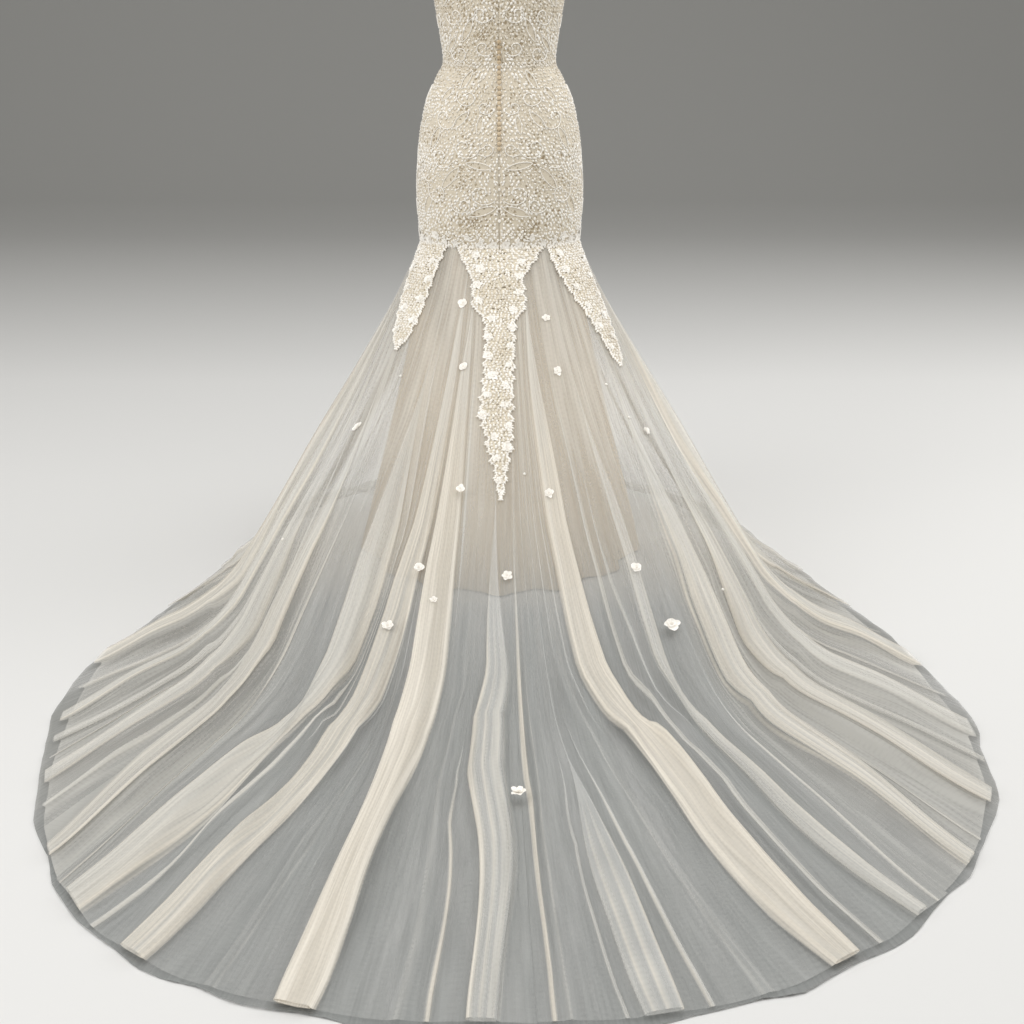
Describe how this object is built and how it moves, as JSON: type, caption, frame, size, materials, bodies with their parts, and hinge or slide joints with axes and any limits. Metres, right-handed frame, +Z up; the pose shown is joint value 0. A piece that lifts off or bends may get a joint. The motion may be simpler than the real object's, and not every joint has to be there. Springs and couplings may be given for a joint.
{
  "type": "mermaid gown",
  "caption": "Strapless mermaid gown: a fitted lace bodice and hip over a plain lining, flaring at the thigh into two layers of sheer tulle with a long train.",
  "frame": {"origin": "middle of the waist, on the waist seam's level, where the wearer holds the gown; the floor is 1090 mm below", "axes": "+Z up along the wearer's body, -Y towards the back and the train, +X to the right seen from behind"},
  "size_m": [1.68, 2.3059, 1.3754],
  "materials": {
    "lace": "corded floral lace on a beige net, matt",
    "applique": "corded ivory lace, matt",
    "outer_tulle": "sheer ivory tulle, soft sheen",
    "under_tulle": "close grey net, matt",
    "lining": "champagne satin, low sheen",
    "button_satin": "satin covered, low sheen"
  },
  "bodies": {
    "root": {"bodice_back_left": "lace", "bodice_back_right": "lace", "bodice_front": "lace", "button_01": "button_satin", "button_02": "button_satin", "button_03": "button_satin", "button_04": "button_satin", "button_05": "button_satin", "button_06": "button_satin", "button_07": "button_satin", "button_08": "button_satin", "button_09": "button_satin", "button_10": "button_satin", "button_11": "button_satin", "button_12": "button_satin", "button_13": "button_satin", "button_14": "button_satin", "button_15": "button_satin", "button_16": "button_satin", "button_17": "button_satin", "button_18": "button_satin", "button_19": "button_satin", "button_20": "button_satin", "button_21": "button_satin", "button_22": "button_satin", "flower_01": "applique", "flower_02": "applique", "flower_03": "applique", "flower_04": "applique", "flower_05": "applique", "flower_06": "applique", "flower_07": "applique", "flower_08": "applique", "flower_09": "applique", "flower_10": "applique", "flower_11": "applique", "flower_12": "applique", "flower_13": "applique", "flower_14": "applique", "hip_back_left": "lace", "hip_back_right": "lace", "hip_front": "lace", "lace_drop_back": "applique", "lace_drop_left": "applique", "lace_drop_right": "applique", "lining_back": "lining", "lining_front": "lining", "tulle_outer_back_left": "outer_tulle", "tulle_outer_back_right": "outer_tulle", "tulle_outer_front": "outer_tulle", "tulle_outer_side_left": "outer_tulle", "tulle_outer_side_right": "outer_tulle", "tulle_under_back_left": "under_tulle", "tulle_under_back_right": "under_tulle", "tulle_under_front": "under_tulle", "tulle_under_side_left": "under_tulle", "tulle_under_side_right": "under_tulle"}
  },
  "joints": []
}
